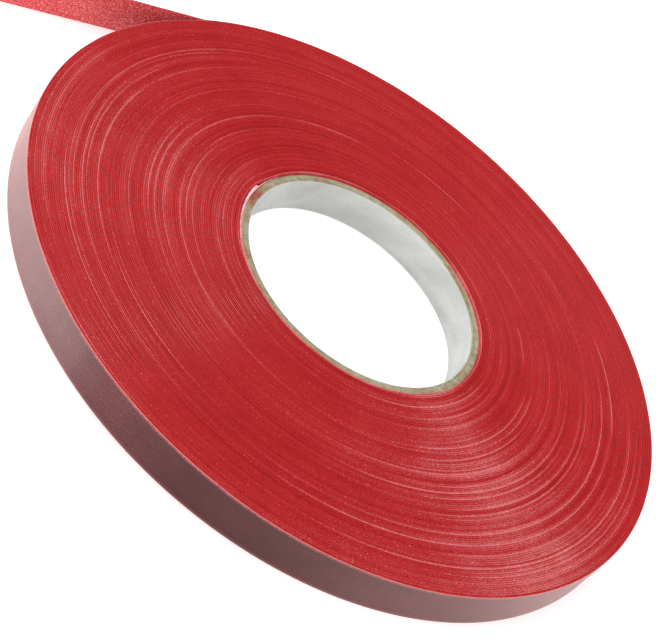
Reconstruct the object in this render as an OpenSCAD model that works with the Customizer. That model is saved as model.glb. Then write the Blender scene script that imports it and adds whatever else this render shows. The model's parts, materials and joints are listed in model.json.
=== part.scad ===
// Flat roll of rubber tape with a clear liner, wound on a thin paperboard core, with a free tail.
// The roll lies on its side. +Z is the core's axis, and z = 0 is the face that the roll rests on.
// The origin is the centre of the core's bore on that face.
// The tape winds outwards anticlockwise, seen from above, and its tail runs off along -X.

/* [Core] */
// Diameter of the core's bore
bore_d = 76.2; // [50:0.1:92]
// Thickness of the pale ply that lines the bore
lining_t = 0.3; // [0.2:0.01:0.6]
// Thickness of each of the four kraft plies
kraft_t = 0.48; // [0.3:0.01:0.9]
// Thickness of the wrap ply on the outside of the core
wrap_t = 0.3; // [0.2:0.01:0.6]
// Thickness of the glue line between two plies
glue_t = 0.04; // [0.03:0.01:0.1]
// Width of the butt seam in each ply
seam_gap = 0.3; // [0.1:0.05:0.8]
// Slant of the seams from the core's axis, in degrees
seam_slant = 45; // [0:5:55]
// How far the core's upper end stands below the edge of the tape
core_recess = 0.6; // [0:0.05:2]

/* [Tape] */
// Width of the tape
tape_w = 12.7; // [6:0.1:30]
// Thickness of the red rubber strip, on the inner side of each turn
rubber_t = 0.45; // [0.3:0.01:1]
// Thickness of the bond line between rubber and liner
bond_t = 0.06; // [0.06:0.01:0.1]
// Thickness of the clear liner, on the outer side of each turn
liner_t = 0.14; // [0.1:0.01:0.3]
// Number of turns wound under the outer turn
wound_turns = 98; // [20:1:120]
// Height step by which neighbouring turns stand out of line
turn_step = 0.05; // [0.02:0.01:0.06]

/* [Outer turn] */
// Thickness of the outer turn's rubber where it comes out from under the peel line
lead_t = 0.1; // [0.06:0.01:0.2]
// Angle from the peel line to that thin end, in degrees
lead_deg = 7; // [6:0.5:15]
// Running gap between the wound tape and the outer turn
turn_gap = 0.08; // [0.07:0.01:0.1]

/* [Start of the tape] */
// Angle at which the tape starts on the core, in degrees
start_deg = 132.5; // [0:0.5:360]
// Length of the start piece along the core
start_len = 26; // [10:1:60]
// Length of the hollow where the next turn bridges down to the core
bridge_len = 5; // [1:0.5:10]
// Gap round the start piece and between the core and the first turn
core_gap = 0.08; // [0.07:0.01:0.15]

/* [Tail] */
// Length of the free tail
tail_len = 90; // [20:1:150]
// Angle by which the tail is lifted off the roll, in degrees
tail_lift = 13.5; // [0:0.5:60]
// Gap at the peel line, between the end of the outer turn and the tail
peel_gap = 0.1; // [0.06:0.01:0.2]

/* [Hidden] */
$fn = 180;

// Plies of kraft paper, how far the seam moves round the core from ply to ply, and the lining's seam
KRAFT_PLIES = 4;
SEAM_TURN_DEG = 67;
LINING_SEAM_DEG = 220;
// A cutter runs this far past what it cuts
CUT = 1;
// The wound turns stand at five heights, taken two at a time so that no two neighbours are level
TURN_LEVELS = 5;
TURN_STRIDE = 2;

KRAFT = "#a39a7c";
PALE_PAPER = "#dadbd7";
RED_RUBBER = "#b9373a";
CLEAR_LINER = "#c9a6a8";
PINK_EDGE = "#e8a0a4";

// The core is cut a little narrower than the tape
core_w = tape_w - core_recess;
bore_r = bore_d / 2;
kraft_in_r = bore_r + lining_t + glue_t;
wrap_in_r = kraft_in_r + KRAFT_PLIES * (kraft_t + glue_t);
core_r = wrap_in_r + wrap_t;
// The seams' cutter reaches past both faces at any slant
seam_cut_h = 2 * core_w / cos(seam_slant);

tape_t = rubber_t + bond_t + liner_t;
wound_in_r = core_r + core_gap;
wound_out_r = wound_in_r + wound_turns * tape_t;

// The outer turn thickens from its thin lead to a full tape at the peel line. Its outline has two
// half circles: one about the origin, and one whose centre is moved towards the peel line.
turn_in_r = wound_out_r + turn_gap;
lead_r = turn_in_r + lead_t + bond_t + liner_t;
roll_r = turn_in_r + tape_t;
centre_shift = (roll_r - lead_r) / 2;

// The tail runs along -X, so the peel line stands where the roll's tangent, lifted, points that way
peel_deg = 90 + tail_lift;
peel_x = roll_r * cos(peel_deg);
peel_y = roll_r * sin(peel_deg);

function arc_deg(length, radius) = length / radius * 180 / PI;
function kraft_r(n) = kraft_in_r + (n - 1) * (kraft_t + glue_t);
function turn_r(i) = wound_in_r + i * tape_t;
function turn_z(i) = turn_step * ((i * TURN_STRIDE) % TURN_LEVELS);

// A ring, or a stretch of one, from angle a to angle b
module arc_ring(inner, outer, height, a = 0, b = 360) {
    rotate([0, 0, a])
        rotate_extrude(angle = b - a)
            translate([inner, 0])
                square([outer - inner, height]);
}

// One spiral-wound ply of the core: a tube with a slanting butt seam
module ply(inner, thickness, seam_deg) {
    difference() {
        arc_ring(inner, inner + thickness, core_w);
        rotate([0, 0, seam_deg])
            translate([bore_r, 0, core_w / 2])
                rotate([seam_slant, 0, 0])
                    cube([bore_d, seam_gap, seam_cut_h], center = true);
    }
}

module core_lining() {
    color(PALE_PAPER)
        ply(bore_r, lining_t, LINING_SEAM_DEG);
}

module core_ply(n) {
    color(KRAFT)
        ply(kraft_r(n), kraft_t, n * SEAM_TURN_DEG);
}

module core_wrap() {
    color(KRAFT)
        ply(wrap_in_r, wrap_t, (KRAFT_PLIES + 1) * SEAM_TURN_DEG);
}

// The first stretch of the tape, stuck to the core under the next turn
module tape_start() {
    color(PINK_EDGE)
        arc_ring(
            wound_in_r, wound_in_r + tape_t, tape_w,
            start_deg, start_deg + arc_deg(start_len, wound_in_r)
        );
}

// The wound turns: each shows its own edge, at its own height, on both faces of the roll
module turns() {
    top = [
        for (i = [0:wound_turns - 1])
            each [[turn_r(i), turn_z(i) + tape_w], [turn_r(i + 1), turn_z(i) + tape_w]]
    ];
    bottom = [
        for (i = [wound_turns - 1:-1:0])
            each [[turn_r(i + 1), turn_z(i)], [turn_r(i), turn_z(i)]]
    ];
    rotate_extrude()
        polygon(concat(top, bottom));
}

module wound_tape() {
    color(RED_RUBBER)
        difference() {
            turns();
            translate([0, 0, -CUT])
                arc_ring(
                    wound_in_r - CUT, wound_in_r + tape_t + core_gap, tape_w + 2 * CUT,
                    start_deg - arc_deg(bridge_len, wound_in_r),
                    start_deg + arc_deg(start_len + core_gap, wound_in_r)
                );
        }
}

// A disc with the outer turn's outline, whose radius at the thin lead is given
module turn_disc(radius, height) {
    rotate([0, 0, peel_deg]) {
        arc_ring(0, radius, height, 0, 180);
        translate([centre_shift, 0, 0])
            arc_ring(0, radius + centre_shift, height, 180, 360);
    }
}

// What is open in the outer turn, from its end at the peel line to its thin lead
module lead_slot() {
    translate([0, 0, -CUT])
        arc_ring(
            wound_in_r, roll_r + CUT, tape_w + 2 * CUT,
            peel_deg - arc_deg(peel_gap / 2, roll_r), peel_deg + lead_deg
        );
}

module outer_turn_rubber() {
    color(RED_RUBBER)
        difference() {
            turn_disc(lead_r - liner_t - bond_t, tape_w);
            translate([0, 0, -CUT])
                cylinder(r = turn_in_r, h = tape_w + 2 * CUT);
            lead_slot();
        }
}

module outer_turn_liner() {
    color(CLEAR_LINER)
        difference() {
            turn_disc(lead_r, tape_w);
            translate([0, 0, -CUT])
                turn_disc(lead_r - liner_t, tape_w + 2 * CUT);
            lead_slot();
        }
}

// A straight strip of the tail, between two depths below the tape's outer side
module tail_strip(depth, thickness) {
    translate([peel_x - tail_len, peel_y - depth - thickness, 0])
        cube([tail_len - peel_gap / 2, thickness, tape_w]);
}

module tail_rubber() {
    color(RED_RUBBER)
        tail_strip(liner_t + bond_t, rubber_t);
}

module tail_liner() {
    color(CLEAR_LINER)
        tail_strip(0, liner_t);
}

core_lining();
for (n = [1:KRAFT_PLIES])
    core_ply(n);
core_wrap();
tape_start();
wound_tape();
outer_turn_rubber();
outer_turn_liner();
tail_rubber();
tail_liner();
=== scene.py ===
"""Flat roll of red rubber tape with a clear liner, on a thin paperboard core, with a free tail.

Lengths are in metres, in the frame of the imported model: +Z is the core's axis, and z = 0 is the face
that the roll rests on. Angles are in radians, anticlockwise seen from above.
"""

import json
import math

import bpy
import numpy as np
from mathutils import Matrix, Vector


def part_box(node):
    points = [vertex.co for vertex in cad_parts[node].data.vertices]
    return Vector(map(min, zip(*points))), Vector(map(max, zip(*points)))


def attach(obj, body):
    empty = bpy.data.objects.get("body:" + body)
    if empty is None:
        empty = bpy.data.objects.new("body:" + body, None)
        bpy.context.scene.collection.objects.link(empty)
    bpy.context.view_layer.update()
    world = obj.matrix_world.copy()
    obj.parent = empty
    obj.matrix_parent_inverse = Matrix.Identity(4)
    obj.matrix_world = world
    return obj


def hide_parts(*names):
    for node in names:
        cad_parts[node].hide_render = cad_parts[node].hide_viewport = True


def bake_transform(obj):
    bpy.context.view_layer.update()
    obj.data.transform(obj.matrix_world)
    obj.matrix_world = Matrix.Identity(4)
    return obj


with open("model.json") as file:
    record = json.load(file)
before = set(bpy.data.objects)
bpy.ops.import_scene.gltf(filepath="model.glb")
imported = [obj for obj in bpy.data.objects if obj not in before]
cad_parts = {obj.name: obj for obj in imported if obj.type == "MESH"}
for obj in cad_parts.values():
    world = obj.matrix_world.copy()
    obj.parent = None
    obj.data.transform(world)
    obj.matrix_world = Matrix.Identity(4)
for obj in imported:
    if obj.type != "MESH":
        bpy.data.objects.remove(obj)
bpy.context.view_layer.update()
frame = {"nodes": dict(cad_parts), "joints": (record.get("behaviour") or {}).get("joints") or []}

MM = 0.001
TURN = 2 * math.pi


# ---------------------------------------------------------------- sizes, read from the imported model

def node_points(node):
    """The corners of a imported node's mesh, one row each."""
    points = np.empty(3 * len(frame["nodes"][node].data.vertices))
    frame["nodes"][node].data.vertices.foreach_get("co", points)
    return points.reshape(-1, 3)


def node_radii(node):
    """The inner and outer radius of a packed ring."""
    points = node_points(node)
    radii = np.hypot(points[:, 0], points[:, 1])
    return radii.min(), radii.max()


def node_angles(node):
    """The first and last angle of a packed stretch of ring that doesn't cross the -X axis."""
    points = node_points(node)
    angles = np.arctan2(points[:, 1], points[:, 0])
    return angles.min(), angles.max()


PEEL_JOINT = next(j for j in frame["joints"] if j["name"] == "tail_peel")
PEEL = np.array(PEEL_JOINT["pos_m"])
ROLL_R = math.hypot(PEEL[0], PEEL[1])
PEEL_ANGLE = math.atan2(PEEL[1], PEEL[0])

CORE_R = node_radii("core_wrap")[1]
CORE_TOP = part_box("core_wrap")[1].z
WOUND_IN_R, WOUND_OUT_R = node_radii("wound_tape")
OUTER_TURN_IN_R = node_radii("outer_turn_rubber")[0]
START_ANGLE, START_END_ANGLE = node_angles("tape_start")

TAIL_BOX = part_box("tail_liner")
TAIL_RUBBER_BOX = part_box("tail_rubber")
TAPE_W = TAIL_BOX[1].z - TAIL_BOX[0].z
LINER_T = TAIL_BOX[1].y - TAIL_BOX[0].y
TAPE_T = TAIL_BOX[1].y - TAIL_RUBBER_BOX[0].y
TAIL_LENGTH = PEEL[0] - TAIL_BOX[0].x
TOP_OF_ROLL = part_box("wound_tape")[1].z
RISE = TOP_OF_ROLL - TAPE_W


# ---------------------------------------------------------------- meshes

SHARP_ANGLE = math.radians(60)
LONG_WALL_BEVELS = 3


def volume_sign(points, sides, ends):
    """+1 if the faces point outwards: the sign of the sum of a . (b x c) over their triangles."""
    a, b, c, d = (points[sides[:, n]] for n in range(4))
    total = np.einsum("ij,ij->", a, np.cross(b, c)) + np.einsum("ij,ij->", a, np.cross(c, d))
    for end in ends:
        first, second, third = points[end[:1]], points[end[1:-1]], points[end[2:]]
        total += np.sum(first * np.cross(second, third))
    return 1 if total > 0 else -1


def carried_profile(name, rings, lay, values):
    """A closed profile carried along a path.

    rings[i, j] is corner j of the profile at step i of the path. A face joins corners j and j + 1 of
    steps i and i + 1, and one face closes each end. lay gives each corner's distance along the strip,
    its height and its depth, and values are named numbers per corner or per step.
    """
    steps, corners = rings.shape[:2]
    row = np.arange(steps - 1)[:, None] * corners
    this = np.arange(corners)[None, :]
    following = (this + 1) % corners
    sides = np.stack(
        [row + this, row + following, row + corners + following, row + corners + this], axis=-1
    ).reshape(-1, 4)
    ends = [np.arange(corners)[::-1], (steps - 1) * corners + np.arange(corners)]
    points = rings.reshape(-1, 3)
    if volume_sign(points, sides, ends) < 0:
        sides = sides[:, ::-1]
        ends = [end[::-1] for end in ends]

    mesh = bpy.data.meshes.new(name)
    corner_list = np.concatenate([sides.ravel()] + ends)
    starts = np.concatenate([np.arange(len(sides)) * 4, [4 * len(sides), 4 * len(sides) + corners]])
    mesh.vertices.add(len(points))
    mesh.vertices.foreach_set("co", points.astype(np.float32).ravel())
    mesh.loops.add(len(corner_list))
    mesh.loops.foreach_set("vertex_index", corner_list.astype(np.int32))
    mesh.polygons.add(len(starts))
    mesh.polygons.foreach_set("loop_start", starts.astype(np.int32))
    mesh.polygons.foreach_set("use_smooth", np.ones(len(starts), bool))
    mesh.update(calc_edges=True)
    mesh.validate()
    mesh.set_sharp_from_angle(angle=SHARP_ANGLE)

    place = mesh.attributes.new("lay", "FLOAT_VECTOR", "POINT")
    place.data.foreach_set("vector", lay.astype(np.float32).ravel())
    for key, value in values.items():
        spread = np.broadcast_to(value if value.ndim == 2 else value[:, None], (steps, corners))
        mesh.attributes.new(key, "FLOAT", "POINT").data.foreach_set(
            "value", spread.astype(np.float32).ravel()
        )
    thing = bpy.data.objects.new(name, mesh)
    bpy.context.scene.collection.objects.link(thing)
    return thing


def strip_profile(inner, outer, low, high, bevel, long_walls=True):
    """A strip's section as (depth, height) corners, going round it, with bevelled corners.

    Each long wall has an extra corner LONG_WALL_BEVELS bevels from its end, which keeps the wall flat
    to the light.
    """
    inner, outer, low, high, bevel = np.broadcast_arrays(inner, outer, low, high, bevel)
    near = bevel
    far = LONG_WALL_BEVELS * bevel
    outer_wall = [(outer, low + near), (outer, low + far), (outer, high - far), (outer, high - near)]
    inner_wall = [(inner, high - near), (inner, high - far), (inner, low + far), (inner, low + near)]
    if not long_walls:
        outer_wall = [outer_wall[0], outer_wall[3]]
        inner_wall = [inner_wall[0], inner_wall[3]]
    corners = (
        [(inner + near, low), (outer - near, low)]
        + outer_wall
        + [(outer - near, high), (inner + near, high)]
        + inner_wall
    )
    return np.stack([np.stack(corner, axis=-1) for corner in corners], axis=-2)


def round_strip(name, angles, along, profile, values, slant=0.0):
    """A profile of (radius, height) corners carried round the core's axis.

    Corner (r, z) of the step at angle a stands at (r cos b, r sin b, z), where b = a + slant z.
    """
    radius, height = profile[..., 0], profile[..., 1]
    turned = angles[:, None] + slant * (height - TAPE_W / 2)
    rings = np.stack([radius * np.cos(turned), radius * np.sin(turned), height], axis=-1)
    lay = np.stack(
        [np.broadcast_to(along[:, None], radius.shape), height, radius - radius.min()], axis=-1
    )
    return carried_profile(name, rings, lay, values)


def smooth(x):
    """The smooth step 3x^2 - 2x^3 of x, held between 0 and 1."""
    x = np.clip(x, 0, 1)
    return x * x * (3 - 2 * x)


def turned_from(middle, angles):
    """How far each angle is turned from the middle one, from -pi to pi."""
    return (angles - middle + math.pi) % TURN - math.pi


def wander(place, every, seed):
    """A smooth random line: a value from -1 to 1 at each `every` of place, joined by smooth steps.

    Place x between whole steps n and n + 1 has v[n] (1 - s) + v[n + 1] s, where s = smooth(x - n).
    """
    numbers = np.random.default_rng(seed)
    scaled = place / every
    first = math.floor(scaled.min())
    values = numbers.uniform(-1, 1, math.ceil(scaled.max()) - first + 2)
    whole = np.floor(scaled).astype(int)
    share = smooth(scaled - whole)
    return values[whole - first] * (1 - share) + values[whole - first + 1] * share


# ---------------------------------------------------------------- the winding

WOUND_TURNS = round((WOUND_OUT_R - WOUND_IN_R) / TAPE_T)
PEEL_PHASE = (START_ANGLE - PEEL_ANGLE) / TURN
PITCH = (WOUND_OUT_R - WOUND_IN_R) / (WOUND_TURNS - PEEL_PHASE)
STEPS_A_TURN = 192
# A turn that lies in a circle climbs to the next one over this share of a turn
START_RAMP = 0.035
PEEL_RAMP = 0.02
LAST_TURN = WOUND_TURNS - PEEL_PHASE - PEEL_RAMP
# So many turns at each end of the strip lie in circles rather than in a spiral
INNER_SETTLE = 8
OUTER_SETTLE = 20
# The bulge over the tape's start
START_BULGE = 0.38 * MM
BULGE_TURNS = 10
BULGE_ANGLE = math.radians(141)
BULGE_SPREAD = math.radians(13)
# The middle turns lean this far towards LEAN_ANGLE, and straighten over LEAN_TURNS at both ends
LEAN = 0.75 * MM
LEAN_ANGLE = math.radians(188)
LEAN_TURNS = 24


def stairs(turns, phase, ramp):
    """The height of a strip that lies in circles and climbs one thickness at the end of each turn.

    floor(t + phase) - phase, plus a smooth step over the last `ramp` of the turn.
    """
    whole = np.floor(turns + phase)
    return whole - phase + smooth((turns + phase - whole - 1 + ramp) / ramp)


def strip_radius(turns):
    """The radius of the strip's inner side after so many turns.

    A spiral of one pitch a turn, drawn towards circles that step over the tape's start on the inner
    turns, and towards circles that step at the peel line on the outer turns. The inner turns also
    bulge over the thick start: a bell curve in angle that fades with each turn. The turns between
    lean to one side by LEAN times the cosine of the angle.
    """
    inner_share = np.clip(1 - turns / INNER_SETTLE, 0, 1)
    outer_share = np.clip(1 - (LAST_TURN - 1 - turns) / OUTER_SETTLE, 0, 1)
    height = turns + inner_share * (stairs(turns, 0, START_RAMP) - turns)
    height = height + outer_share * (stairs(turns, PEEL_PHASE, PEEL_RAMP) - turns)
    angles = START_ANGLE + TURN * turns
    fade = np.clip(1 - (turns - 1) / BULGE_TURNS, 0, 1) * (turns > 0.5)
    bulge = START_BULGE * fade * np.exp(-((turned_from(BULGE_ANGLE, angles) / BULGE_SPREAD) ** 2))
    lean = LEAN * smooth(turns / LEAN_TURNS) * smooth((LAST_TURN - turns) / LEAN_TURNS)
    lean = lean * np.cos(angles - LEAN_ANGLE)
    return WOUND_IN_R + PITCH * height + bulge + lean


VISIBLE_RUBBER_T = 0.445 * MM
LINER_START = 0.450 * MM
VISIBLE_LINER_T = 0.140 * MM
RUBBER_BEVEL = 0.11 * MM
LINER_BEVEL = 0.035 * MM
# How far a pale liner stands past the rubber's edge
LINER_PROUD = 0.05 * MM
# The lower edge of the film on the outer turn, the tail and the start stands this high
LINER_LOW = 0.02 * MM

# Arcs of the winding that show pale, partly the liner's own pale edges and partly a painted highlight
# where the edges catch the light: radius in mm, first and last angle in degrees, and strength
PALE_ARCS = [
    (41.6, 134, 214, 0.9), (45.3, 236, 316, 0.5), (45.1, 310, 384, 0.5), (46.9, 130, 168, 0.4),
    (47.4, 285, 320, 0.3), (48.8, 160, 200, 0.4), (48.9, 324, 338, 0.5), (56.7, 335, 352, 0.9),
    (58.6, 132, 172, 0.6), (59.6, 112, 134, 0.5), (60.7, 136, 232, 1.0), (60.2, 232, 262, 0.4),
    (59.3, 266, 326, 0.7), (59.2, 388, 404, 0.4), (60.8, 300, 325, 0.5), (62.2, 358, 378, 0.8),
    (63.3, 260, 318, 0.6), (64.2, 68, 94, 0.7), (64.7, 94, 168, 0.6), (64.7, 256, 328, 0.5),
    (65.8, 132, 194, 0.7), (66.9, 306, 356, 0.7), (67.3, 392, 426, 0.6), (67.6, 236, 316, 0.7),
    (68.5, 124, 212, 1.0), (69.0, 70, 134, 0.5), (70.4, 132, 172, 0.6), (71.5, 256, 340, 0.7),
    (72.9, 194, 214, 0.5), (73.6, 238, 340, 1.0), (74.7, 196, 220, 0.7), (74.9, 312, 404, 0.4),
    (75.6, 262, 318, 0.7), (75.6, 410, 434, 0.4), (78.9, 268, 340, 1.0), (80.9, 256, 350, 0.8),
    (82.9, 287, 322, 0.6), (82.9, 360, 376, 0.8), (83.9, 182, 222, 0.9), (84.8, 94, 134, 0.8),
    (85.6, 128, 198, 1.0), (86.2, 372, 390, 0.7), (86.4, 238, 356, 1.0), (87.0, 226, 244, 0.5),
    (88.5, 122, 168, 0.6), (89.5, 94, 134, 0.9), (89.7, 232, 330, 0.9), (90.2, 130, 226, 1.0),
    (90.4, 326, 356, 0.8), (91.5, 98, 134, 0.7), (92.0, 72, 82, 0.6), (92.1, 132, 178, 0.7),
    (92.9, 96, 150, 0.9), (93.0, 286, 318, 0.5), (93.5, 146, 200, 0.9), (93.4, 262, 300, 0.4),
    (94.4, 258, 322, 0.4), (94.9, 160, 210, 0.8), (95.6, 334, 352, 0.6), (95.8, 276, 318, 0.5),
    (96.4, 304, 338, 0.6), (96.6, 130, 158, 0.4), (97.0, 238, 334, 0.9), (97.5, 88, 100, 0.6),
    (98.2, 262, 318, 0.6), (98.5, 132, 176, 0.5), (98.6, 72, 84, 0.6), (99.6, 130, 166, 0.5),
    (99.6, 266, 330, 0.5), (100.6, 264, 318, 0.4), (100.8, 126, 190, 0.4), (101.6, 130, 180, 0.4),
    (101.4, 280, 330, 0.4), (102.4, 276, 322, 0.4), (103.2, 190, 250, 0.6), (103.4, 130, 176, 0.5),
    (103.6, 250, 300, 0.5),
]
# Arcs that show dark, in the same way
DARK_ARCS = [
    (43.0, 60, 400, 0.5), (48.6, 276, 318, 0.6), (52.0, 224, 314, 0.5), (51.9, 300, 420, 0.9),
    (52.2, 84, 140, 0.9), (63.9, 262, 330, 0.5), (66.4, 160, 200, 0.4), (70.6, 254, 300, 0.5),
    (72.4, 134, 168, 0.4), (75.0, 284, 330, 0.5), (79.9, 280, 330, 0.5), (90.9, 120, 170, 0.5),
    (92.4, 100, 150, 0.5), (93.0, 326, 346, 0.4), (97.7, 270, 320, 0.4),
]
# The radii of all the arcs are drawn in by this share
ARC_TRIM = 0.997
# Groups of fine pale arcs at random radii, partly a painted highlight like the arcs above: how many,
# their middle and spread in degrees, and the seed
FINE_ARC_GROUPS = [(110, 165, 28, 11), (170, 292, 38, 12), (70, 105, 26, 13), (322, 405, 24, 14)]
FINE_ARC_HALF_DEGREES = (8, 40)
FINE_ARC_STRENGTHS = (0.25, 0.8)

# How much each thing adds to the tone of an edge, from 0 (deep) to 1 (pale); the share by side of the
# roll is a painted sheen
RUBBER_EDGE_TONE = {
    "base": 0.26, "drift": 0.13, "painted sheen": 0.17, "pale arcs": 0.22, "fine arcs": 0.05, "dark arcs": -0.22,
}
LINER_EDGE_TONE = {
    "base": 0.21, "drift": 0.22, "painted sheen": 0.26, "pale arcs": 0.42, "fine arcs": 0.20, "dark arcs": -0.22,
}
# A faint pale arc shows more on the liner than on the rubber
LINER_PALE_POWER = 0.8
# The first turn is pale up to its end, and palest near the tape's start, counted in turns
FIRST_TURN_END = 1.25
FIRST_TURN_FADE = 0.15
PALEST_END = 0.45
PALEST_FADE = 0.35
FIRST_TURN_RUBBER_TONE = 0.70
FIRST_TURN_LINER_TONE = 0.95

# Sides of the roll where the edges carry a painted sheen, paler where their ridges would catch the
# light: middle and spread in degrees
PAINTED_SHEEN_SIDES = [(154, 42), (276, 42), (284, 15)]
# Where a painted sheen makes the outer film paler, and where a painted shade makes it deeper
PAINTED_SHEEN_ON_FILM = [(188, 26)]
PAINTED_SHADE_ON_FILM = [(229, 26)]


def arc_tone(turns, arcs):
    """How strongly each place on the strip lies in one of the arcs.

    Each arc is laid on the turn nearest to its radius at its middle angle, and fades to both ends as
    1 - x^4, where x runs from -1 to 1 along the arc.
    """
    tone = np.zeros_like(turns)
    for radius, first, last, strength in arcs:
        middle = (math.radians((first + last) / 2) - START_ANGLE) / TURN
        choices = np.arange(math.ceil(-middle), math.floor(LAST_TURN - middle) + 1)
        misses = np.abs(strip_radius(choices + middle) + LINER_START - radius * ARC_TRIM * MM)
        whole = choices[np.argmin(misses)]
        half = math.radians(last - first) / 2 / TURN
        x = (turns - whole - middle) / half
        tone = np.maximum(tone, strength * np.clip(1 - x**4, 0, 1))
    return tone


def random_arcs(count, centre, spread, seed):
    """Short fine arcs at random radii, about one side of the roll, as PALE_ARCS gives them."""
    numbers = np.random.default_rng(seed)
    radius = numbers.uniform(WOUND_IN_R, WOUND_OUT_R, count) / MM
    middle = numbers.normal(centre, spread, count)
    half = numbers.uniform(*FINE_ARC_HALF_DEGREES, count)
    strength = numbers.uniform(*FINE_ARC_STRENGTHS, count)
    return list(zip(radius, middle - half, middle + half, strength))


def strip_height(turns):
    """How far each place of the strip stands up: from 0 to RISE, wandering along the strip.

    The sum of a slow random line and a quick one about half of RISE.
    """
    rough = 0.5 + 0.32 * wander(turns, 1.0, seed=3) + 0.18 * wander(turns, 0.21, seed=4)
    return RISE * np.clip(rough, 0, 1)


def nearness(angles, sides):
    """How near each angle is to the sides: bell curves exp(-x^2) about their middles, summed."""
    near = np.zeros_like(angles)
    for centre, spread in sides:
        away = turned_from(math.radians(centre), angles)
        near = near + np.exp(-((away / math.radians(spread)) ** 2))
    return near


def strip_tones(turns):
    """The tone of the rubber's edge and of the liner's edge, from 0 (deep) to 1 (pale).

    Each is the weighted sum of what makes the edge paler or deeper there. The first turn is pale on
    top of that, most of all near the tape's start.
    """
    fine_arcs = [arc for group in FINE_ARC_GROUPS for arc in random_arcs(*group)]
    parts = {
        "base": np.ones_like(turns),
        "drift": 0.55 * wander(turns, 0.45, seed=5) + 0.45 * wander(turns, 0.11, seed=6),
        # A painted sheen: paler edges on the sides of the roll where their ridges would catch the light
        "painted sheen": nearness(START_ANGLE + TURN * turns, PAINTED_SHEEN_SIDES),
        "pale arcs": arc_tone(turns, PALE_ARCS),
        "fine arcs": arc_tone(turns, fine_arcs),
        "dark arcs": arc_tone(turns, DARK_ARCS),
    }
    rubber = sum(weight * parts[name] for name, weight in RUBBER_EDGE_TONE.items())
    parts["pale arcs"] = parts["pale arcs"] ** LINER_PALE_POWER
    liner = sum(weight * parts[name] for name, weight in LINER_EDGE_TONE.items())

    first_turn = np.clip((FIRST_TURN_END - turns) / FIRST_TURN_FADE, 0, 1)
    first_turn = first_turn * (0.85 + 0.15 * wander(turns, 0.03, seed=7))
    near_start = smooth((PALEST_END - turns) / PALEST_FADE)
    pale_rubber = FIRST_TURN_RUBBER_TONE + (1 - FIRST_TURN_RUBBER_TONE) * near_start
    rubber = np.maximum(rubber, pale_rubber * first_turn)
    liner = np.maximum(liner, FIRST_TURN_LINER_TONE * first_turn)
    return np.clip(rubber, 0, 1), np.clip(liner, 0, 1)


def wound_band(number, first, last):
    """The rubber and the liner of the turns from first to last, as two strips.

    Past LAST_TURN the strip climbs its last ramp and thins out by the same smooth step, so that its
    outer side stays on one circle.
    """
    turns = np.linspace(first, last, round((last - first) * STEPS_A_TURN) + 1)
    angles = START_ANGLE + TURN * turns
    radius = strip_radius(turns)
    along = np.concatenate([[0], np.cumsum(np.diff(angles) * (radius[1:] + radius[:-1]) / 2)])
    low = strip_height(turns)
    rubber_tone, liner_tone = strip_tones(turns)
    proud = LINER_PROUD * liner_tone
    thinning = 1 - smooth((turns - LAST_TURN) / PEEL_RAMP)
    rubber = round_strip(
        f"wound_rubber_{number}", angles, along,
        strip_profile(
            radius, radius + VISIBLE_RUBBER_T * thinning, low, low + TAPE_W, RUBBER_BEVEL * thinning,
            long_walls=False
        ),
        {"tone": rubber_tone},
    )
    liner_in = radius + LINER_START * thinning
    liner = round_strip(
        f"wound_liner_{number}", angles, along,
        strip_profile(
            liner_in, liner_in + VISIBLE_LINER_T * thinning, np.maximum(low - proud, 0),
            np.minimum(low + TAPE_W + proud, TOP_OF_ROLL), LINER_BEVEL * thinning, long_walls=False
        ),
        {"tone": liner_tone},
    )
    return rubber, liner


# ---------------------------------------------------------------- the start of the tape

START_STEP = math.radians(0.14)
FEATHER_ANGLE = math.radians(15)
FEATHER_T = 0.22 * MM
# The feather is thinner by this share at its tip
FEATHER_TAPER = 0.65
START_T = 0.93 * MM
START_FAR_T = 0.56 * MM
START_RISE_ANGLE = math.radians(1.2)
START_FALL_ANGLE = math.radians(26)
START_ABOVE_TAPE = 0.10 * MM
START_BEVEL = 0.12 * MM
START_OFF_CORE = 0.01 * MM
RIB_HEIGHT = 0.05 * MM
RIB_SPACING = 0.55 * MM


def start_piece():
    """The squashed end of the tape on the core, with a thin feather of film before it.

    Its thickness rises from the feather's to START_T by a smooth step over START_RISE_ANGLE, then
    falls to START_FAR_T by one over START_FALL_ANGLE. Its upper edge has ribs: a sine of the distance
    along it.
    """
    first = START_ANGLE - FEATHER_ANGLE
    angles = np.arange(first, START_END_ANGLE, START_STEP)
    along = WOUND_IN_R * (angles - first)
    past = angles - START_ANGLE
    fall = smooth(past / START_FALL_ANGLE)
    rise = smooth(past / START_RISE_ANGLE + 0.5)
    tip = smooth(-past / FEATHER_ANGLE)
    body = START_T + (START_FAR_T - START_T) * fall + 0.03 * MM * wander(along, 0.9 * MM, seed=21)
    feather = FEATHER_T * (1 - FEATHER_TAPER * tip)
    thick = feather + (body - feather) * rise
    ribs = RIB_HEIGHT * np.sin(TURN * along / RIB_SPACING) * rise
    high = TAPE_W + START_ABOVE_TAPE * rise + ribs + 0.04 * MM * wander(along, 1.4 * MM, seed=22)
    tone = 0.86 - 0.22 * fall - 0.40 * tip + 0.08 * wander(along, 0.8 * MM, seed=23)
    bevel = np.minimum(START_BEVEL, 0.3 * thick)
    inner = np.full_like(angles, CORE_R + START_OFF_CORE)
    profile = strip_profile(inner, inner + thick, LINER_LOW, high, bevel)
    return round_strip("start_of_tape", angles, along, profile, {"tone": tone})


# ---------------------------------------------------------------- the outer turn and the tail

OUTER_TURN_STEPS = 720
LEAD_GAP = math.radians(0.8)
LEAD_RISE = math.radians(45)
LEAD_T = 0.10 * MM
VISIBLE_BOND = 0.01 * MM
EDGE_BEVEL = 0.04 * MM
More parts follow.
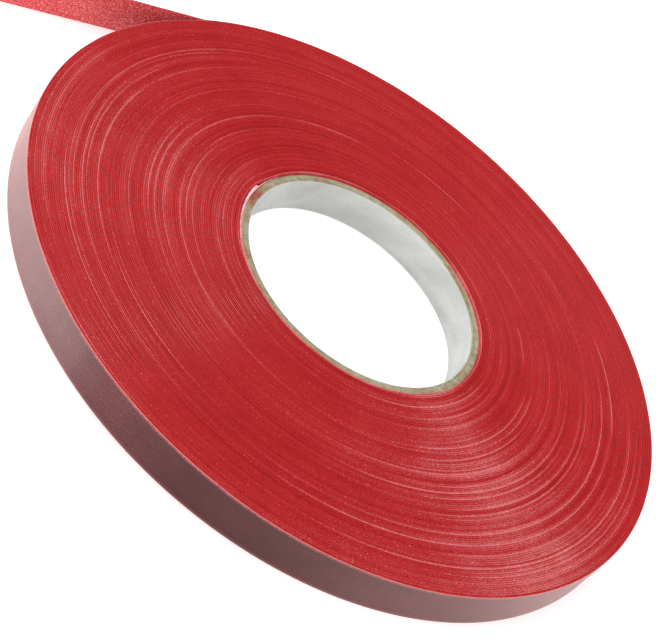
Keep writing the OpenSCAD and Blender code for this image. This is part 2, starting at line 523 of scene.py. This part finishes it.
# The rubber's lower edge wanders up to twice this, and its upper edge stands a little below TAPE_W
RUBBER_LOW_WANDER = 0.03 * MM
RUBBER_SHORT = 0.05 * MM
RUBBER_HIGH_WANDER = 0.04 * MM
LINER_HIGH_WANDER = 0.03 * MM
# The outer turn's rubber reaches in towards the turn below by this much
SNUG = 0.09 * MM
# The tone of the film is 0.5 as usual, more under the painted sheen, less under the painted shade
USUAL_FILM = 0.5
FILM_SWING = 0.46
FILM_WANDER = 0.04


def outer_turn():
    """The last turn before the peel line, a rubber strip and the liner's film outside it.

    The rubber thickens from LEAD_T to the full thickness by a smooth step over LEAD_RISE.
    """
    angles = PEEL_ANGLE + np.linspace(LEAD_GAP, TURN, OUTER_TURN_STEPS + 1)
    along = ROLL_R * (angles - PEEL_ANGLE - TURN)
    full = TAPE_T - LINER_T - VISIBLE_BOND
    thick = LEAD_T + (full - LEAD_T) * smooth((angles - PEEL_ANGLE - LEAD_GAP) / LEAD_RISE)
    inner = np.full_like(angles, OUTER_TURN_IN_R - SNUG)
    low = RUBBER_LOW_WANDER * (1 + wander(angles, 0.35, seed=31))
    high = TAPE_W - RUBBER_SHORT + RUBBER_HIGH_WANDER * wander(angles, 0.22, seed=32)
    tone = 0.44 + 0.10 * wander(angles, 0.05, seed=33)
    rubber = round_strip(
        "outer_turn_rubber_strip", angles, along,
        strip_profile(inner, inner + SNUG + thick, low, high, EDGE_BEVEL), {"tone": tone},
    )
    liner_in = inner + SNUG + thick + VISIBLE_BOND
    liner_high = TAPE_W + LINER_HIGH_WANDER * wander(angles, 0.03, seed=34)
    # The painted sheen and painted shade of the film, by its angle round the roll
    painted_light = nearness(angles, PAINTED_SHEEN_ON_FILM) - nearness(angles, PAINTED_SHADE_ON_FILM)
    film_tone = USUAL_FILM + FILM_SWING * painted_light
    liner = round_strip(
        "outer_turn_liner_film", angles, along,
        strip_profile(liner_in, liner_in + LINER_T, LINER_LOW, liner_high, EDGE_BEVEL),
        {"tone": film_tone + FILM_WANDER * wander(angles, 0.02, seed=35)},
    )
    return rubber, liner


TAIL_STEP = 0.4 * MM
TAIL_BEND = 1.6 * MM
TAIL_CURL = math.radians(5)
TAIL_CURL_LENGTH = 22 * MM


def tail():
    """The free tail: a strip that leaves the roll along its tangent and bends to run along -X.

    Its heading turns from the tangent's to -X over the first TAIL_BEND, and curls by TAIL_CURL over
    the last TAIL_CURL_LENGTH. The path is the running sum of (cos heading, sin heading).
    """
    along = np.arange(0, TAIL_LENGTH, TAIL_STEP)
    tangent = PEEL_ANGLE + TURN / 4
    heading = math.pi + (tangent - math.pi) * (1 - smooth(along / TAIL_BEND))
    curl_start = TAIL_LENGTH - TAIL_CURL_LENGTH
    heading = heading - TAIL_CURL * smooth((along - curl_start) / TAIL_CURL_LENGTH)
    middle = (heading[1:] + heading[:-1]) / 2
    x = PEEL[0] + np.concatenate([[0], np.cumsum(TAIL_STEP * np.cos(middle))])
    y = PEEL[1] + np.concatenate([[0], np.cumsum(TAIL_STEP * np.sin(middle))])
    outward = np.stack([np.sin(heading), -np.cos(heading)], axis=-1)

    def strip(name, top, bottom, low, high, tone):
        """A layer of the tail between two depths below its outer side."""
        profile = strip_profile(-bottom, -top, low, high, EDGE_BEVEL)
        depth, height = profile[..., 0], profile[..., 1]
        rings = np.stack(
            [
                x[:, None] + depth * outward[:, :1],
                y[:, None] + depth * outward[:, 1:],
                height,
            ],
            axis=-1,
        )
        lay = np.stack([np.broadcast_to(along[:, None], depth.shape), height, depth], axis=-1)
        return carried_profile(name, rings, lay, {"tone": tone})

    low = RUBBER_LOW_WANDER * (1 + wander(along, 9 * MM, seed=41))
    high = TAPE_W - RUBBER_SHORT + RUBBER_HIGH_WANDER * wander(along, 7 * MM, seed=42)
    rubber = strip(
        "tail_rubber_strip", LINER_T + VISIBLE_BOND, TAPE_T, low, high,
        0.50 + 0.04 * wander(along, 4 * MM, seed=43),
    )
    liner = strip(
        "tail_liner_film", 0, LINER_T, LINER_LOW,
        TAPE_W + LINER_HIGH_WANDER * wander(along, 3 * MM, seed=44),
        USUAL_FILM + FILM_WANDER * wander(along, 2 * MM, seed=45),
    )
    return rubber, liner


# ---------------------------------------------------------------- the core

PLIES = ["core_lining", "core_ply_1", "core_ply_2", "core_ply_3", "core_ply_4", "core_wrap"]
PLY_STEPS = 360
SEAM_SLANT = math.radians(45)
PLY_BEVEL = 0.05 * MM
PLY_EDGE_WANDER = 0.025 * MM
# Corners within these of each other count as one: across the ply, and round it in radians
SAME_RADIUS = 0.01 * MM
SAME_ANGLE = 1e-4


def seam_middle(node):
    """The angle and the width of a packed ply's seam at its lower face.

    The corners on the ply's inner side stand at even angles all round, so the seam is the step
    between two of them that differs most from the usual one.
    """
    points = node_points(node)
    radii = np.hypot(points[:, 0], points[:, 1])
    low = points[(points[:, 2] < TAPE_W / 10) & (radii < radii.min() + SAME_RADIUS)]
    angles = np.sort(np.arctan2(low[:, 1], low[:, 0]) % TURN)
    angles = angles[np.diff(angles, prepend=-1) > SAME_ANGLE]
    steps = np.diff(angles, append=angles[0] + TURN)
    odd = int(np.argmax(np.abs(steps - np.median(steps))))
    return angles[odd] + steps[odd] / 2, steps[odd]


def core_ply(node):
    """One ply of the core as a tube with a slanting butt seam.

    The seam at height z stands z tan(SEAM_SLANT) / radius further round than at the lower face.
    """
    inner, outer = node_radii(node)
    low_angle, gap = seam_middle(node)
    slant = -math.tan(SEAM_SLANT) / inner
    middle = low_angle + slant * TAPE_W / 2
    angles = middle + np.linspace(gap / 2, TURN - gap / 2, PLY_STEPS + 1)
    along = inner * (angles - middle)
    own_seed = round(outer / MM * 10)
    high = CORE_TOP + PLY_EDGE_WANDER * wander(angles, 0.09, seed=len(node) + own_seed)
    profile = strip_profile(inner, outer, 0, high, PLY_BEVEL)
    tone = 0.5 + 0.3 * wander(angles, 0.5, seed=51 + own_seed)
    return round_strip(node + "_tube", angles, along, profile, {"tone": tone}, slant=slant)


# ---------------------------------------------------------------- finishes

# The Mix node's sockets for a share and two colours, by number, because their names are shared
MIX_INPUTS = (0, 6, 7)
MIX_OUTPUT = 2


class Finish:
    """A material's nodes. Each call adds a node and gives back its output."""

    def __init__(self, name):
        self.material = bpy.data.materials.new(name)
        self.material.use_nodes = True
        self.tree = self.material.node_tree
        self.shader = self.tree.nodes["Principled BSDF"]

    def node(self, kind, inputs, **settings):
        """Adds a node, sets it, and feeds its inputs with sockets or constants."""
        made = self.tree.nodes.new(kind)
        for key, value in settings.items():
            setattr(made, key, value)
        for key, value in inputs.items():
            if isinstance(value, bpy.types.NodeSocket):
                self.tree.links.new(value, made.inputs[key])
            else:
                made.inputs[key].default_value = value
        return made

    def place(self):
        """The point's place in the model's frame."""
        return self.node("ShaderNodeTexCoord", {}).outputs["Object"]

    def lay(self):
        """The point's distance along its strip, its height and its depth."""
        return self.node("ShaderNodeAttribute", {}, attribute_name="lay").outputs["Vector"]

    def value(self, name):
        """A named number of the piece's corners."""
        return self.node("ShaderNodeAttribute", {}, attribute_name=name).outputs["Fac"]

    def stretch(self, point, sizes):
        """The point divided by a grain size along each axis."""
        scale = tuple(1 / size for size in sizes)
        return self.node("ShaderNodeMapping", {"Vector": point, "Scale": scale}).outputs["Vector"]

    def noise(self, point, size, detail=2.0, roughness=0.5, distortion=0.0):
        """Cloudy noise from 0 to 1, with grains of one size, or of a size along each axis."""
        sizes = size if isinstance(size, tuple) else (size,) * 3
        inputs = {
            "Vector": self.stretch(point, sizes), "Scale": 1.0, "Detail": detail,
            "Roughness": roughness, "Distortion": distortion,
        }
        return self.node("ShaderNodeTexNoise", inputs).outputs["Fac"]

    def math(self, operation, a, b=0.0, clamp=False):
        """Arithmetic on two numbers."""
        made = self.node("ShaderNodeMath", {0: a, 1: b}, operation=operation, use_clamp=clamp)
        return made.outputs[0]

    def between(self, value, low, high, to_low=0.0, to_high=1.0):
        """The value moved smoothly from the range low..high to the range to_low..to_high."""
        inputs = {
            "Value": value, "From Min": low, "From Max": high, "To Min": to_low, "To Max": to_high,
        }
        made = self.node("ShaderNodeMapRange", inputs, interpolation_type="SMOOTHSTEP")
        return made.outputs["Result"]

    def ramp(self, value, stops):
        """Colours laid along a number, as (place, colour) pairs."""
        made = self.node("ShaderNodeValToRGB", {"Fac": value})
        elements = made.color_ramp.elements
        for place, colour in stops[2:]:
            elements.new(place)
        for element, (place, colour) in zip(elements, stops):
            element.position = place
        for element, (place, colour) in zip(elements, stops):
            element.color = (*colour, 1.0)
        return made.outputs["Color"]

    def mix(self, share, first, second):
        """The first colour, with a share of the second mixed in."""
        colours = [c if isinstance(c, bpy.types.NodeSocket) else (*c, 1.0) for c in (first, second)]
        inputs = dict(zip(MIX_INPUTS, [share] + colours))
        return self.node("ShaderNodeMix", inputs, data_type="RGBA").outputs[MIX_OUTPUT]

    def bump(self, height, distance, strength):
        """A bumped normal from a height of 0 to 1 over a distance in metres."""
        inputs = {"Height": height, "Distance": distance, "Strength": strength}
        return self.node("ShaderNodeBump", inputs).outputs["Normal"]

    def set(self, **inputs):
        """Feeds the shader: a socket's name with _ for each space."""
        for key, value in inputs.items():
            socket = self.shader.inputs[key.replace("_", " ")]
            if isinstance(value, bpy.types.NodeSocket):
                self.tree.links.new(value, socket)
            else:
                socket.default_value = value
        return self.material


DEEP_RED = (0.30, 0.003, 0.005)
MID_RED = (0.475, 0.009, 0.012)
WARM_RED = (0.50, 0.038, 0.043)
PALE_PINK = (0.80, 0.27, 0.28)
RED_TONES = [(0.0, DEEP_RED), (0.38, MID_RED), (0.62, WARM_RED), (1.0, PALE_PINK)]
START_TONES = [
    (0.0, MID_RED), (0.45, (0.66, 0.22, 0.23)), (0.8, (0.90, 0.50, 0.50)), (1.0, (0.95, 0.68, 0.66)),
]
RUBBER_FACE_TONES = [(0.0, (0.50, 0.020, 0.024)), (0.5, (0.85, 0.062, 0.068)), (1.0, (1.0, 0.32, 0.33))]
LINING_TONES = [(0.0, (0.43, 0.435, 0.415)), (1.0, (0.55, 0.555, 0.535))]


def rubber_edge_finish():
    """Cut edges of the wound rubber: red by the turn's tone, with fine grain and crushed specks."""
    f = Finish("cut rubber edge")
    place = f.place()
    grain = f.noise(place, 0.32 * MM, detail=3.0, roughness=0.65)
    cloud = f.noise(place, 9 * MM, detail=2.0)
    tone = f.math("ADD", f.value("tone"), f.between(grain, 0.28, 0.72, -0.30, 0.22))
    tone = f.math("ADD", tone, f.between(cloud, 0.3, 0.7, -0.06, 0.06), clamp=True)
    specks = f.noise(place, 0.55 * MM, detail=1.0)
    tone = f.math("ADD", tone, f.between(specks, 0.64, 0.76, 0.0, 0.40), clamp=True)
    return f.set(
        Base_Color=f.ramp(tone, RED_TONES),
        Roughness=f.between(grain, 0.2, 0.8, 0.38, 0.60),
        Normal=f.bump(grain, 0.06 * MM, 0.6),
        Specular_IOR_Level=0.07,
    )


def liner_edge_finish():
    """Cut edges of the wound liner: clear film that shows red, or pale by its tone, partly its own pale
    cut edges and partly a painted sheen on some sides of the roll.
    """
    f = Finish("cut liner edge")
    place = f.place()
    grain = f.noise(place, 0.40 * MM, detail=3.0, roughness=0.7)
    tone = f.math("ADD", f.value("tone"), f.between(grain, 0.28, 0.72, -0.26, 0.26), clamp=True)
    return f.set(
        Base_Color=f.ramp(tone, RED_TONES),
        Roughness=f.between(grain, 0.2, 0.8, 0.24, 0.42),
        Normal=f.bump(grain, 0.04 * MM, 0.5),
        Specular_IOR_Level=0.5,
    )


def start_finish():
    """The squashed start of the tape: pale pink, with ribs across it and redder hollows."""
    f = Finish("ribbed pale start")
    lay = f.lay()
    ribs = f.noise(lay, (0.34 * MM, 4 * MM, 2.2 * MM), detail=2.0, distortion=0.4)
    tone = f.math("ADD", f.value("tone"), f.between(ribs, 0.3, 0.7, -0.30, 0.10), clamp=True)
    return f.set(
        Base_Color=f.ramp(tone, START_TONES),
        Roughness=f.between(ribs, 0.2, 0.8, 0.35, 0.55),
        Normal=f.bump(ribs, 0.10 * MM, 0.8),
        Subsurface_Weight=0.15,
        Subsurface_Radius=(0.9 * MM, 0.3 * MM, 0.3 * MM),
        Subsurface_Scale=1.0,
    )


def red_rubber_finish():
    """The rubber's own surface: red, coarsely speckled paler and darker, satin."""
    f = Finish("speckled red rubber")
    place = f.place()
    coarse = f.noise(place, 0.62 * MM, detail=2.0, roughness=0.6)
    fine = f.noise(place, 0.26 * MM, detail=2.0, roughness=0.6)
    speck = f.math("ADD", f.math("MULTIPLY", coarse, 0.6), f.math("MULTIPLY", fine, 0.4))
    tone = f.math("ADD", f.value("tone"), f.between(speck, 0.38, 0.62, -0.42, 0.40), clamp=True)
    height = f.node("ShaderNodeSeparateXYZ", {"Vector": f.lay()}).outputs["Y"]
    cut = f.between(height, TAPE_W - 0.22 * MM, TAPE_W - 0.08 * MM, 0.0, 0.85)
    return f.set(
        Base_Color=f.mix(cut, f.ramp(tone, RUBBER_FACE_TONES), MID_RED),
        Roughness=f.between(speck, 0.3, 0.7, 0.42, 0.62),
        Normal=f.bump(speck, 0.12 * MM, 0.7),
    )


FILM_DEEP = (0.028, 0.002, 0.003)
FILM_MID = (0.062, 0.006, 0.007)
FILM_PALE = (0.165, 0.043, 0.045)
# The pale colour of the painted sheen on the film
FILM_PAINTED_SHEEN = (0.30, 0.20, 0.20)
# The pale of the film's cut edges: partly their own colour, partly a painted highlight where the upper
# edge catches the light
FILM_EDGE = (0.58, 0.15, 0.15)
FILM_TONES = [(0.0, FILM_DEEP), (0.5, FILM_MID), (1.0, FILM_PALE)]
# The weave's threads cross at this slant, and a wave texture of scale 1 repeats after WAVE_PERIOD
WEAVE_SLANT = math.radians(52)
WEAVE_SPACING_MM = 0.62
WAVE_PERIOD = 0.31


def liner_finish():
    """Clear embossed film over the rubber: dark pinkish grey with a fine crosswise weave.

    It is paler under a painted sheen and deeper under a painted shade, both carried in its tone, and
    shows pale along its upper cut edge, in teeth: partly the cut film's own colour, partly a painted
    highlight.
    """
    f = Finish("embossed liner film")
    lay = f.lay()
    ribs = f.noise(lay, (0.24 * MM, 0.9 * MM, 40 * MM), detail=2.0, roughness=0.55)
    weave = 0.0
    for slant in (WEAVE_SLANT, -WEAVE_SLANT):
        turned = f.node("ShaderNodeVectorRotate", {"Vector": lay, "Angle": slant}).outputs["Vector"]
        inputs = {
            "Vector": f.stretch(turned, (MM, MM, MM)), "Scale": WAVE_PERIOD / WEAVE_SPACING_MM,
            "Distortion": 1.6, "Detail": 1.0, "Detail Scale": 1.2,
        }
        thread = f.node("ShaderNodeTexWave", inputs, wave_type="BANDS", bands_direction="X")
        weave = f.math("ADD", weave, f.math("MULTIPLY", thread.outputs["Fac"], 0.5))
    cloud = f.noise(lay, (14 * MM, 9 * MM, 40 * MM), detail=2.0)
    pattern = f.math("ADD", f.math("MULTIPLY", ribs, 0.5), f.math("MULTIPLY", weave, 0.5))
    tone = f.math("ADD", f.between(pattern, 0.32, 0.68), f.between(cloud, 0.3, 0.7, -0.10, 0.10))
    film_tone_and_painted_light = f.value("tone")
    # Below the usual tone the film is deepened: a painted shade
    tone = f.math("ADD", tone, f.between(film_tone_and_painted_light, 0.0, USUAL_FILM, -0.45, 0.0), clamp=True)
    film = f.ramp(tone, FILM_TONES)
    # Above the usual tone a pale colour is mixed in: a painted sheen
    painted_light = f.between(film_tone_and_painted_light, USUAL_FILM, 1.0, 0.0, 0.62)
    painted_light = f.math("MULTIPLY", painted_light, f.between(tone, 0.0, 1.0, 0.6, 1.0))
    film = f.mix(painted_light, film, FILM_PAINTED_SHEEN)
    height = f.node("ShaderNodeSeparateXYZ", {"Vector": lay}).outputs["Y"]
    # The pale upper cut edge and its teeth: partly the cut film's own colour, partly a painted
    # highlight where it catches the light
    near_top = f.between(height, TAPE_W - 1.2 * MM, TAPE_W - 0.1 * MM)
    teeth = f.math("MULTIPLY", near_top, f.between(ribs, 0.38, 0.62, 0.25, 1.0), clamp=True)
    near_bottom = f.between(height, 0.0, 1.2 * MM, 0.30, 0.0)
    cut = f.between(height, TAPE_W - 0.30 * MM, TAPE_W - 0.08 * MM)
    teeth = f.math("MAXIMUM", f.math("MULTIPLY", teeth, 0.75), cut)
    return f.set(
        Base_Color=f.mix(f.math("MAXIMUM", teeth, near_bottom), film, FILM_EDGE),
        Roughness=f.between(pattern, 0.3, 0.7, 0.30, 0.46),
        Normal=f.bump(pattern, 0.05 * MM, 0.55),
        Specular_IOR_Level=0.16,
        Sheen_Weight=0.84,
        Sheen_Roughness=0.46,
        Sheen_Tint=(1.0, 0.60, 0.60, 1.0),
    )


STAIN_RADIUS = CORE_R - 1.0 * MM
STAIN_ANGLE = START_ANGLE + math.radians(6)
STAIN_PLACE = (
    STAIN_RADIUS * math.cos(STAIN_ANGLE), STAIN_RADIUS * math.sin(STAIN_ANGLE), CORE_TOP,
)


def kraft_finish(name, dark, middle, pale, stain):
    """Cut paperboard: mottled tan with fibres round the core, and a red-brown stain by the start."""
    f = Finish(name)
    place = f.place()
    mottle = f.noise(place, 1.9 * MM, detail=3.0, roughness=0.6)
    fibre = f.noise(f.lay(), (1.1 * MM, 0.25 * MM, 0.14 * MM), detail=3.0, roughness=0.7)
    tone = f.math("ADD", f.math("MULTIPLY", mottle, 0.5), f.math("MULTIPLY", fibre, 0.5))
    tone = f.math("ADD", tone, f.math("MULTIPLY", f.value("tone"), 0.2))
    board = f.ramp(f.between(tone, 0.40, 0.78), [(0.0, dark), (0.55, middle), (1.0, pale)])
    spot = f.node("ShaderNodeVectorMath", {0: place, 1: STAIN_PLACE}, operation="DISTANCE")
    near = f.between(spot.outputs["Value"], 1.5 * MM, 7.5 * MM, 1.0, 0.0)
    patch = f.math("MULTIPLY", near, f.between(mottle, 0.30, 0.5), clamp=True)
    blush = f.between(f.noise(place, 11 * MM, detail=1.0), 0.52, 0.66, 0.0, 0.35)
    patch = f.math("MAXIMUM", patch, blush)
    return f.set(
        Base_Color=f.mix(patch, board, stain),
        Roughness=f.between(fibre, 0.2, 0.8, 0.78, 0.95),
        Normal=f.bump(tone, 0.10 * MM, 0.7),
        Specular_IOR_Level=0.25,
    )


def lining_finish():
    """Pale grey lining paper: smooth, with faint fibres and clouds."""
    f = Finish("pale lining paper")
    lay = f.lay()
    fibre = f.noise(lay, (1.6 * MM, 0.35 * MM, 5 * MM), detail=3.0, roughness=0.6)
    cloud = f.noise(lay, (14 * MM, 8 * MM, 30 * MM), detail=2.0)
    tone = f.math("ADD", f.math("MULTIPLY", fibre, 0.4), f.math("MULTIPLY", cloud, 0.6))
    return f.set(
        Base_Color=f.ramp(f.between(tone, 0.35, 0.65), LINING_TONES),
        Roughness=f.between(fibre, 0.2, 0.8, 0.70, 0.88),
        Normal=f.bump(fibre, 0.03 * MM, 0.5),
        Specular_IOR_Level=0.3,
    )


# ---------------------------------------------------------------- putting the roll together


def finish_piece(piece, finish, body, nodes):
    """Gives a piece its finish, hides the nodes it stands in for, and hangs it on its body.

    A piece given no body (None), as the tail that crosses the peel joint, is not attached.
    """
    piece.data.materials.append(finish)
    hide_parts(*nodes)
    if body:
        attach(piece, body)


rubber_edge = rubber_edge_finish()
liner_edge = liner_edge_finish()
red_rubber = red_rubber_finish()
liner_film = liner_finish()

# The wound strip goes on where the start piece ends, and is cut in two bands to keep each one small
FIRST_TURN = (START_END_ANGLE - START_ANGLE) / TURN + 0.0005
MIDDLE_TURN = 56.0
END_OF_STRIP = LAST_TURN + 0.9 * PEEL_RAMP
WOUND_BANDS = [(FIRST_TURN, MIDDLE_TURN), (MIDDLE_TURN, END_OF_STRIP)]
for number, (first, last) in enumerate(WOUND_BANDS, 1):
    rubber, liner = wound_band(number, first, last)
    finish_piece(rubber, rubber_edge, "roll", ["wound_tape"])
    finish_piece(liner, liner_edge, "roll", ["wound_tape"])

finish_piece(start_piece(), start_finish(), "roll", ["tape_start"])

rubber, liner = outer_turn()
finish_piece(rubber, rubber_edge, "outer_turn", ["outer_turn_rubber"])
finish_piece(liner, liner_film, "outer_turn", ["outer_turn_liner"])

rubber, liner = tail()
finish_piece(rubber, red_rubber, None, ["tail_rubber"])
finish_piece(liner, liner_film, None, ["tail_liner"])
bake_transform(rubber)
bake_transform(liner)

kraft = kraft_finish(
    "cut kraft board", dark=(0.20, 0.175, 0.105), middle=(0.36, 0.325, 0.20),
    pale=(0.45, 0.40, 0.28), stain=(0.34, 0.095, 0.062),
)
kraft_wrap = kraft_finish(
    "kraft wrap", dark=(0.26, 0.22, 0.14), middle=(0.42, 0.37, 0.25),
    pale=(0.58, 0.46, 0.35), stain=(0.38, 0.105, 0.07),
)
lining = lining_finish()
PLY_FINISHES = {"core_lining": (lining, "lining_paper"), "core_wrap": (kraft_wrap, "kraft_wrap")}
for ply in PLIES:
    finish, slot = PLY_FINISHES.get(ply, (kraft, "kraft_board"))
    finish_piece(core_ply(ply), finish, "roll", [ply])

# ---------------------------------------------------------------- floor, light and camera


FLOOR_HALF = 4.0
# Just below the roll, so that no two faces lie in one plane
FLOOR_LEVEL = -0.1 * MM
FLOOR_GLOW = 0.42
WORLD_STRENGTH = 0.42
# Name, distance, angle round the roll and angle above the floor in degrees, size, and power in watts
SOFTBOXES = [
    ("overhead_softbox", 1.6, 95, 75, 1.2, 9.5),
    ("left_softbox", 1.2, 92, 48, 0.8, 6.2),
    ("right_softbox", 1.2, 320, 48, 0.8, 3.1),
    ("low_left_softbox", 1.2, 180, 8, 0.32, 7.8),
    ("front_softbox", 1.2, 270, 16, 0.6, 2.2),
]


def floor():
    """A plain white floor under the roll."""
    half, level = FLOOR_HALF, FLOOR_LEVEL
    mesh = bpy.data.meshes.new("floor")
    corners = [(-half, -half, level), (half, -half, level), (half, half, level), (-half, half, level)]
    mesh.from_pydata(corners, [], [(0, 1, 2, 3)])
    thing = bpy.data.objects.new("floor", mesh)
    bpy.context.scene.collection.objects.link(thing)
    f = Finish("white floor")
    thing.data.materials.append(
        f.set(
            Base_Color=(0.93, 0.93, 0.93, 1.0),
            Roughness=0.9,
            Emission_Color=(1.0, 1.0, 1.0, 1.0),
            Emission_Strength=FLOOR_GLOW,
        )
    )


def softbox(name, distance, azimuth, elevation, size, power):
    """A square light that faces the roll's middle from a direction given in degrees."""
    light = bpy.data.lights.new(name, "AREA")
    light.size = size
    light.energy = power
    thing = bpy.data.objects.new(name, light)
    bpy.context.scene.collection.objects.link(thing)
    round_angle, up_angle = math.radians(azimuth), math.radians(elevation)
    away = Vector(
        (
            math.cos(round_angle) * math.cos(up_angle),
            math.sin(round_angle) * math.cos(up_angle),
            math.sin(up_angle),
        )
    )
    thing.location = away * distance
    thing.rotation_euler = away.to_track_quat("Z", "Y").to_euler()


def studio_world(strength):
    """Even white light from all round."""
    world = bpy.data.worlds.new("studio")
    world.use_nodes = True
    world.node_tree.nodes["Background"].inputs["Color"].default_value = (1, 1, 1, 1)
    world.node_tree.nodes["Background"].inputs["Strength"].default_value = strength
    bpy.context.scene.world = world


CAMERA_ELEVATION = math.radians(36.481)
CAMERA_ROLL = math.radians(40.634)
CAMERA_TURN = math.radians(-46.3)
CAMERA_DISTANCE = 476.21 * MM
CAMERA_SHIFT = (-6.709 * MM, -7.921 * MM)
CAMERA_AIM_HEIGHT = TAPE_W / 2 + 0.1 * MM
CAMERA_LENS_MM = 88.84
CAMERA_SENSOR_MM = 36
CAMERA_NEAR_LIMIT = 10 * MM


def camera():
    """A camera that looks at the roll's middle from CAMERA_DISTANCE.

    It is turned by CAMERA_ROLL about its own line of sight and moved across it by CAMERA_SHIFT.
    """
    back = Vector((0, -math.cos(CAMERA_ELEVATION), math.sin(CAMERA_ELEVATION)))
    right = Vector((1, 0, 0))
    up = back.cross(right)
    across = math.cos(CAMERA_ROLL) * right + math.sin(CAMERA_ROLL) * up
    upward = -math.sin(CAMERA_ROLL) * right + math.cos(CAMERA_ROLL) * up
    place = across * CAMERA_SHIFT[0] + upward * CAMERA_SHIFT[1] + back * CAMERA_DISTANCE
    pose = Matrix((across, upward, back)).transposed().to_4x4()
    pose.translation = place
    film_tone_and_painted_light = Matrix.Translation((0, 0, CAMERA_AIM_HEIGHT))
    data = bpy.data.cameras.new("camera")
    data.lens = CAMERA_LENS_MM
    data.sensor_width = CAMERA_SENSOR_MM
    data.clip_start = CAMERA_NEAR_LIMIT
    thing = bpy.data.objects.new("camera", data)
    bpy.context.scene.collection.objects.link(thing)
    thing.matrix_world = film_tone_and_painted_light @ Matrix.Rotation(CAMERA_TURN, 4, "Z") @ pose
    bpy.context.scene.camera = thing


floor()
studio_world(WORLD_STRENGTH)
for settings in SOFTBOXES:
    softbox(*settings)
camera()
bpy.context.scene.view_settings.view_transform = "Standard"
